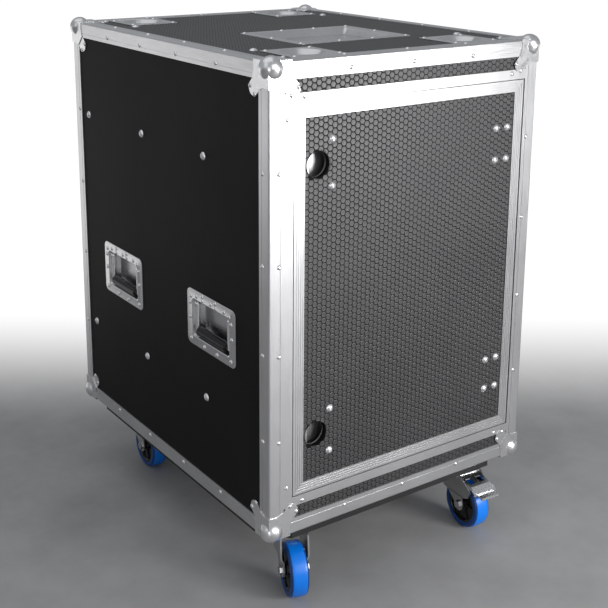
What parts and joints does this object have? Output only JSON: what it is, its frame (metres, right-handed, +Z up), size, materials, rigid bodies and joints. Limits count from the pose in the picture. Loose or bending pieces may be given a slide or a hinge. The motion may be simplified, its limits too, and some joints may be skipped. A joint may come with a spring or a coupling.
{
  "type": "rack flight case",
  "caption": "Wheeled road case for 19-inch rack gear, with a hinged door at each end, recessed side handles and stacking dishes.",
  "frame": {"origin": "on the floor, under the middle of the box round the whole object, wheels included", "axes": "+X to the right seen from the front door, +Y to the rear door, +Z up"},
  "size_m": [0.618, 0.796, 0.997],
  "materials": {
    "aluminium": "brushed, clear anodised",
    "zinc_plate": "zinc plated, satin",
    "rivet": "bright",
    "bolt": "bright zinc",
    "hex_laminate": "birch plywood faced with embossed dark laminate",
    "plain_laminate": "birch plywood faced with smooth black laminate",
    "board": "black stained plywood",
    "steel": "black powder coat",
    "chrome": "bright",
    "grip_rubber": "matt",
    "tyre": "blue elastic rubber",
    "wheel_core": "black nylon"
  },
  "bodies": {
    "case": {"ball_corners": "zinc_plate", "case_bolts": "bolt", "castor_board": "board", "castor_bolts": "bolt", "castor_plates": "zinc_plate", "door_slides": "steel", "edge_angles_cross": "aluminium", "edge_angles_depth": "aluminium", "edge_angles_upright": "aluminium", "fascia_boards": "hex_laminate", "handle_dish_left_front": "zinc_plate", "handle_dish_left_rear": "zinc_plate", "handle_dish_right_front": "zinc_plate", "handle_dish_right_rear": "zinc_plate", "hinge_carriages": "steel", "jamb_strips": "aluminium", "panel_bottom": "plain_laminate", "panel_left": "plain_laminate", "panel_right": "plain_laminate", "panel_top": "hex_laminate", "rack_rails": "steel", "rivets_case": "rivet", "rivets_dishes": "rivet", "top_dishes": "zinc_plate"},
    "door_front": {"door_frame_front": "aluminium", "door_panel_front": "hex_laminate", "hinge_leaves_front": "steel", "latch_cases_front": "steel", "door_bolts_front": "bolt"},
    "latch_bolt_lower_front": {"latch_bolt_lower_front": "steel"},
    "latch_bolt_upper_front": {"latch_bolt_upper_front": "steel"},
    "door_rear": {"door_frame_rear": "aluminium", "door_panel_rear": "hex_laminate", "hinge_leaves_rear": "steel", "latch_cases_rear": "steel", "door_bolts_rear": "bolt"},
    "latch_bolt_lower_rear": {"latch_bolt_lower_rear": "steel"},
    "latch_bolt_upper_rear": {"latch_bolt_upper_rear": "steel"},
    "bail_left_front": {"handle_bail_left_front": "chrome", "handle_grip_left_front": "grip_rubber"},
    "bail_left_rear": {"handle_bail_left_rear": "chrome", "handle_grip_left_rear": "grip_rubber"},
    "bail_right_front": {"handle_bail_right_front": "chrome", "handle_grip_right_front": "grip_rubber"},
    "bail_right_rear": {"handle_bail_right_rear": "chrome", "handle_grip_right_rear": "grip_rubber"},
    "castor_front_left": {"castor_fork_front_left": "zinc_plate"},
    "wheel_front_left": {"wheel_tyre_front_left": "tyre", "wheel_core_front_left": "wheel_core"},
    "castor_front_right": {"castor_fork_front_right": "zinc_plate"},
    "wheel_front_right": {"wheel_tyre_front_right": "tyre", "wheel_core_front_right": "wheel_core"},
    "pedal_front_right": {"brake_pedal_front_right": "zinc_plate"},
    "castor_rear_left": {"castor_fork_rear_left": "zinc_plate"},
    "wheel_rear_left": {"wheel_tyre_rear_left": "tyre", "wheel_core_rear_left": "wheel_core"},
    "castor_rear_right": {"castor_fork_rear_right": "zinc_plate"},
    "wheel_rear_right": {"wheel_tyre_rear_right": "tyre", "wheel_core_rear_right": "wheel_core"},
    "pedal_rear_right": {"brake_pedal_rear_right": "zinc_plate"}
  },
  "joints": [
    {"name": "door_hinge_front", "type": "hinge", "parent": "case", "child": "door_front", "pos_m": [0.245, -0.34141, 0.568], "axis": [0, 0, 1], "range_deg": [0, 90]},
    {"name": "latch_lower_front", "type": "slide", "parent": "door_front", "child": "latch_bolt_lower_front", "axis": [-1, 0, 0], "range_m": [0, 0.01]},
    {"name": "latch_upper_front", "type": "slide", "parent": "door_front", "child": "latch_bolt_upper_front", "axis": [-1, 0, 0], "range_m": [0, 0.01]},
    {"name": "door_hinge_rear", "type": "hinge", "parent": "case", "child": "door_rear", "pos_m": [-0.245, 0.36959, 0.568], "axis": [0, 0, 1], "range_deg": [0, 90]},
    {"name": "latch_lower_rear", "type": "slide", "parent": "door_rear", "child": "latch_bolt_lower_rear", "axis": [1, 0, 0], "range_m": [0, 0.01]},
    {"name": "latch_upper_rear", "type": "slide", "parent": "door_rear", "child": "latch_bolt_upper_rear", "axis": [1, 0, 0], "range_m": [0, 0.01]},
    {"name": "bail_swing_left_front", "type": "hinge", "parent": "case", "child": "bail_left_front", "pos_m": [-0.2932, -0.16791, 0.5118], "axis": [0, 1, 0], "range_deg": [0, 90]},
    {"name": "bail_swing_left_rear", "type": "hinge", "parent": "case", "child": "bail_left_rear", "pos_m": [-0.2932, 0.18659, 0.5118], "axis": [0, 1, 0], "range_deg": [0, 90]},
    {"name": "bail_swing_right_front", "type": "hinge", "parent": "case", "child": "bail_right_front", "pos_m": [0.2932, -0.16791, 0.5118], "axis": [0, -1, 0], "range_deg": [0, 90]},
    {"name": "bail_swing_right_rear", "type": "hinge", "parent": "case", "child": "bail_right_rear", "pos_m": [0.2932, 0.18659, 0.5118], "axis": [0, -1, 0], "range_deg": [0, 90]},
    {"name": "castor_swivel_front_left", "type": "hinge", "parent": "case", "child": "castor_front_left", "pos_m": [-0.2075, -0.27991, 0.115], "axis": [0, 0, 1], "continuous": true},
    {"name": "wheel_spin_front_left", "type": "hinge", "parent": "castor_front_left", "child": "wheel_front_left", "pos_m": [-0.22313, -0.3253, 0.05], "axis": [0.9455, -0.3256, 0], "continuous": true},
    {"name": "castor_swivel_front_right", "type": "hinge", "parent": "case", "child": "castor_front_right", "pos_m": [0.2075, -0.27991, 0.115], "axis": [0, 0, 1], "continuous": true},
    {"name": "wheel_spin_front_right", "type": "hinge", "parent": "castor_front_right", "child": "wheel_front_right", "pos_m": [0.20415, -0.32779, 0.05], "axis": [0.9976, -0.0698, 0], "continuous": true},
    {"name": "brake_front_right", "type": "hinge", "parent": "castor_front_right", "child": "pedal_front_right", "pos_m": [0.20436, -0.3248, 0.111], "axis": [0.9976, -0.0698, 0], "range_deg": [0, 10]},
    {"name": "castor_swivel_rear_left", "type": "hinge", "parent": "case", "child": "castor_rear_left", "pos_m": [-0.2075, 0.30809, 0.115], "axis": [0, 0, 1], "continuous": true},
    {"name": "wheel_spin_rear_left", "type": "hinge", "parent": "castor_rear_left", "child": "wheel_rear_left", "pos_m": [-0.21001, 0.26016, 0.05], "axis": [0.9986, -0.0523, 0], "continuous": true},
    {"name": "castor_swivel_rear_right", "type": "hinge", "parent": "case", "child": "castor_rear_right", "pos_m": [0.2075, 0.30809, 0.115], "axis": [0, 0, 1], "continuous": true},
    {"name": "wheel_spin_rear_right", "type": "hinge", "parent": "castor_rear_right", "child": "wheel_rear_right", "pos_m": [0.20082, 0.26056, 0.05], "axis": [0.9903, -0.1392, 0], "continuous": true},
    {"name": "brake_rear_right", "type": "hinge", "parent": "castor_rear_right", "child": "pedal_rear_right", "pos_m": [0.20124, 0.26353, 0.111], "axis": [0.9903, -0.1392, 0], "range_deg": [0, 10]}
  ]
}
